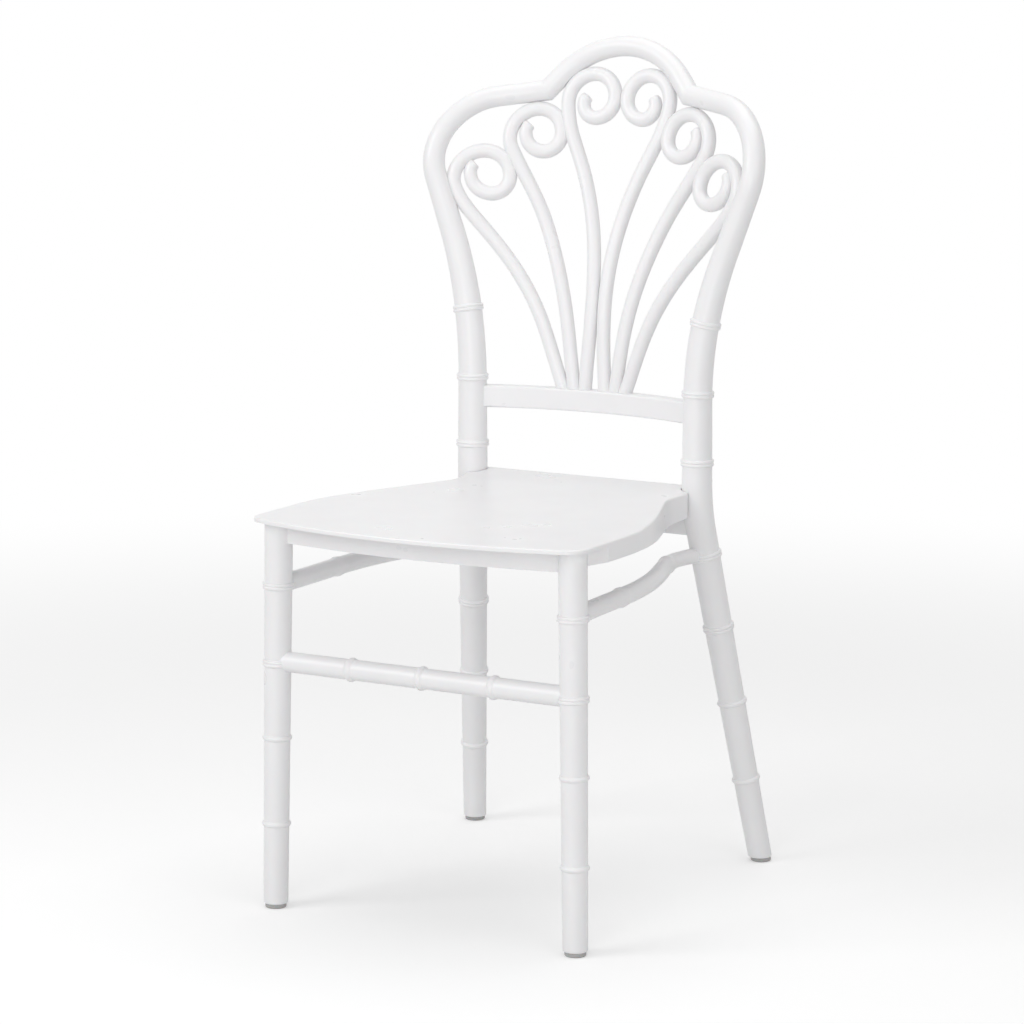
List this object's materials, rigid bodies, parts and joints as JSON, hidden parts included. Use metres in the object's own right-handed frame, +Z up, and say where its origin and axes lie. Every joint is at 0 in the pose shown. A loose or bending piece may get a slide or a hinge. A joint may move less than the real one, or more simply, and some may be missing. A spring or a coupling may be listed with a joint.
{
  "type": "chiavari chair",
  "caption": "White moulded-resin chiavari chair with a fan back of curled rods inside a hooped frame, bamboo-ringed legs and a flat seat.",
  "frame": {"origin": "centre of the bounding box, at floor level under the glides", "axes": "+Z up, -Y the way the chair faces, +X to the sitter's left; X = 0 is the mirror plane"},
  "size_m": [0.446, 0.5402, 0.9641],
  "materials": {
    "resin_white": "satin moulded",
    "glide_rubber": "matte",
    "fixing_steel": "zinc plated"
  },
  "bodies": {
    "root": {"seat_shell": "resin_white", "front_apron": "resin_white", "rear_seat_rail": "resin_white", "front_leg_left": "resin_white", "front_leg_right": "resin_white", "rear_post_left": "resin_white", "rear_post_right": "resin_white", "crest_arch": "resin_white", "crest_dowels": "fixing_steel", "back_rail": "resin_white", "scroll_inner_left": "resin_white", "scroll_inner_right": "resin_white", "scroll_middle_left": "resin_white", "scroll_middle_right": "resin_white", "scroll_outer_left": "resin_white", "scroll_outer_right": "resin_white", "front_stretcher": "resin_white", "side_stretcher_left": "resin_white", "side_stretcher_right": "resin_white", "glide_front_left": "glide_rubber", "glide_front_right": "glide_rubber", "glide_rear_left": "glide_rubber", "glide_rear_right": "glide_rubber", "seat_screws": "fixing_steel"}
  },
  "joints": []
}
